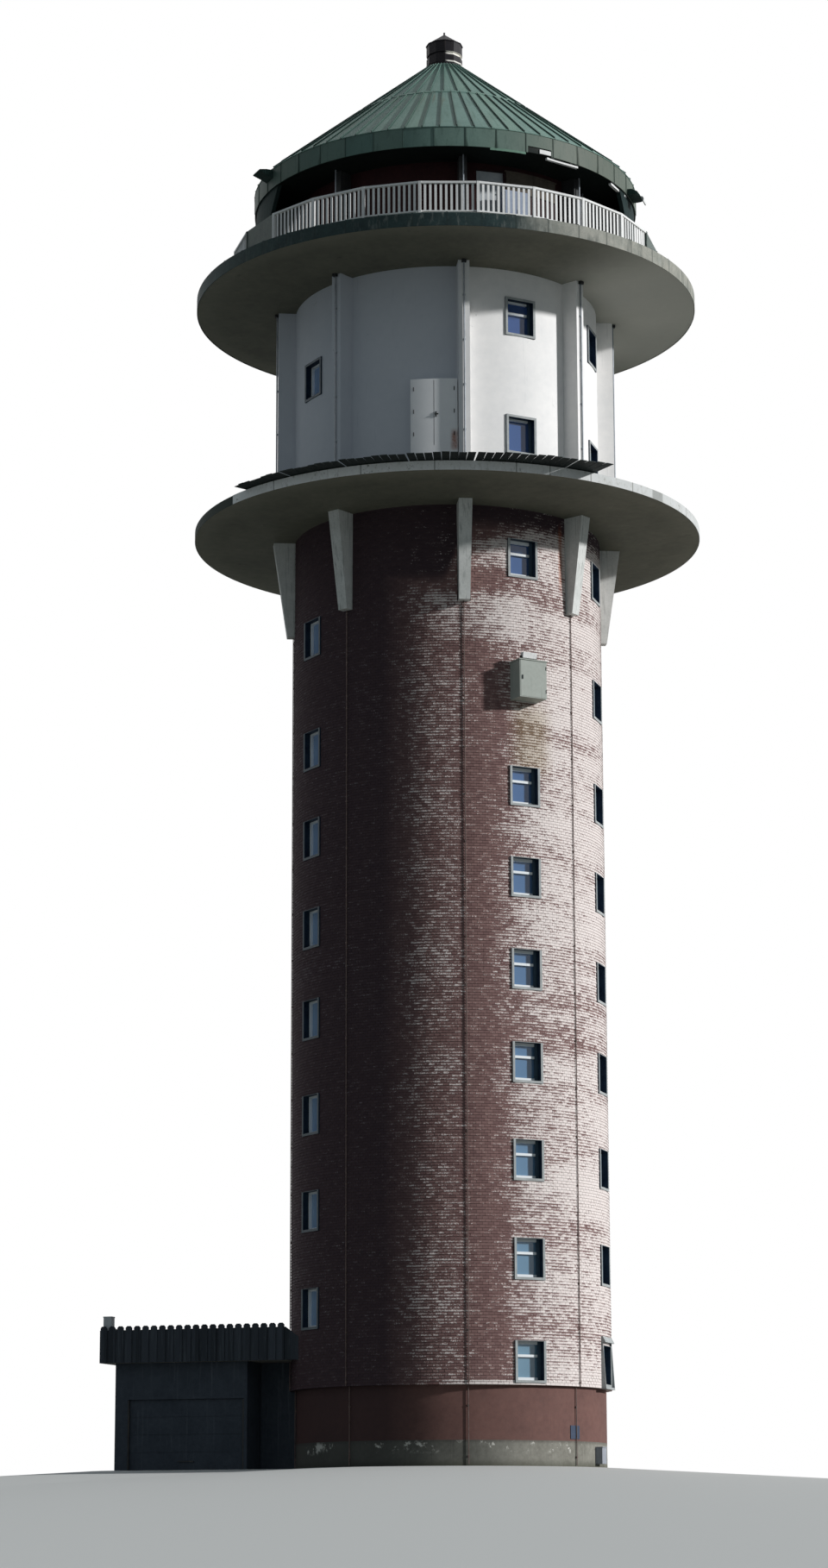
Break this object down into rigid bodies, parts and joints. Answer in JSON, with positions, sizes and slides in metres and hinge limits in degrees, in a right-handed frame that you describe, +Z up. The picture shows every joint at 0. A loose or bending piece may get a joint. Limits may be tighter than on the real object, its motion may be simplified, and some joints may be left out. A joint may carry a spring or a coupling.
{
  "type": "round observation and transmitter tower, scale model",
  "caption": "Round tiled tower with cantilever discs, a white drum, an open railed gallery, a seamed cone roof with lantern and a flat-roofed annex",
  "frame": {"origin": "on the tower axis, at ground level", "axes": "+Z up along the tower axis, -Y towards the front, the annex lies towards -X"},
  "size_m": [8.871, 8.0965, 22.5154],
  "materials": {
    "plinth_render": "grey render with streaks",
    "render": "brown weathered render",
    "shingle": "brown scale-shaped tiles, pale with weather in places",
    "concrete": "plain concrete",
    "disc_concrete": "pale painted concrete with water stains",
    "bracket_paint": "pale painted concrete",
    "drum_paint": "white paint",
    "white_paint": "white paint, flaking",
    "dark_sheet": "dark weathered sheet",
    "copper": "green copper patina",
    "copper_dark": "dark green sheet",
    "grey_sheet": "grey-green paint",
    "maroon_wall": "maroon paint",
    "dark_steel": "dark paint",
    "pale_door": "pale grey paint",
    "dark_soffit": "dark green paint",
    "window_metal": "grey metal surround with white casement",
    "window_glass": "bluish glass",
    "pipe_metal": "pale grey paint",
    "annex_paint": "dark grey paint",
    "annex_board": "dark blue-grey boards"
  },
  "bodies": {
    "root": {"foundation_plinth": "plinth_render", "wall_front": "render", "wall_front_right": "render", "wall_right": "render", "wall_back_right": "render", "wall_back": "render", "wall_back_left": "render", "wall_left": "render", "wall_front_left": "render", "tile_cladding": "shingle", "ground_floors": "concrete", "storey_floors": "concrete", "lower_disc": "disc_concrete", "lower_disc_fascia": "white_paint", "rim_plates": "dark_sheet", "lower_brackets": "bracket_paint", "drum_walls": "drum_paint", "drum_ribs": "drum_paint", "drum_cabinet": "drum_paint", "cabinet_doors": "drum_paint", "upper_disc": "disc_concrete", "upper_disc_apron": "copper", "gallery_railing": "white_paint", "parapet_panels": "grey_sheet", "gallery_walls": "maroon_wall", "gallery_posts": "dark_steel", "gallery_outer_walls": "copper_dark", "gallery_door": "pale_door", "gallery_ceiling": "dark_soffit", "roof_shell": "copper", "roof_seams": "copper", "eave_band": "copper", "lantern_body": "dark_steel", "lantern_lid": "dark_steel", "window_surrounds": "window_metal", "window_glass": "window_glass", "equipment_box": "grey_sheet", "shaft_conductors": "dark_steel", "downpipes": "pipe_metal", "annex_walls": "annex_paint", "annex_roof": "concrete", "annex_fascia": "annex_board", "annex_door": "annex_paint", "annex_vent": "pale_door", "meter_box": "pale_door"}
  },
  "joints": []
}
